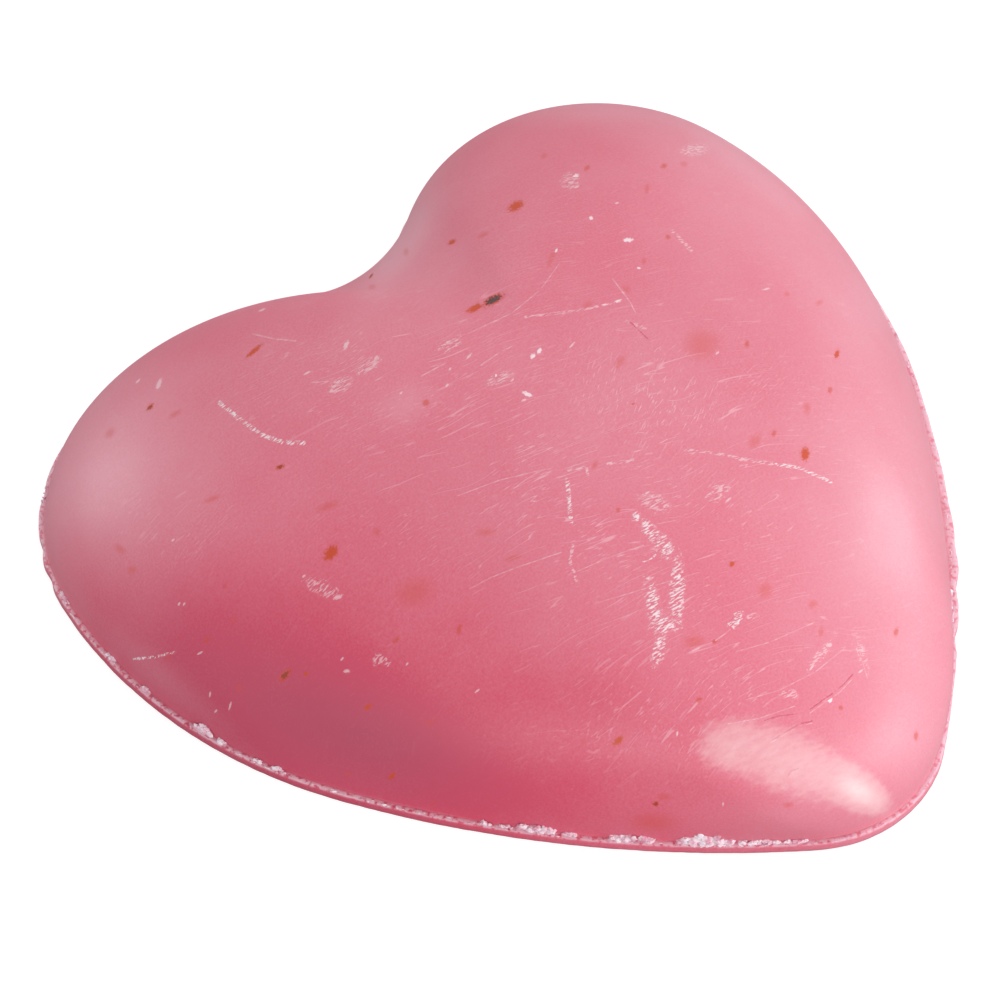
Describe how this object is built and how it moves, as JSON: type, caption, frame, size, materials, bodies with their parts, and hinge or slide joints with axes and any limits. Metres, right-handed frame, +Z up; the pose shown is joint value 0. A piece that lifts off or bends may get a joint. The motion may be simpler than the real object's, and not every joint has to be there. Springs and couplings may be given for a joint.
{
  "type": "bar of soap",
  "caption": "Heart-shaped bar of pink soap with a rounded domed front, a flat back and a thin chipped trim lip round the back edge, flecked and scuffed.",
  "frame": {"origin": "bottom centre of the bounding box, on the flat back", "axes": "+Z up through the dome, -Y towards the heart's tip, +Y towards its two lobes"},
  "size_m": [0.0814, 0.081, 0.0221],
  "materials": {
    "pink_soap": "satin, waxy milled soap with orange and dark flecks and fine pale scratches"
  },
  "bodies": {
    "root": {"soap_bar": "pink_soap"}
  },
  "joints": []
}
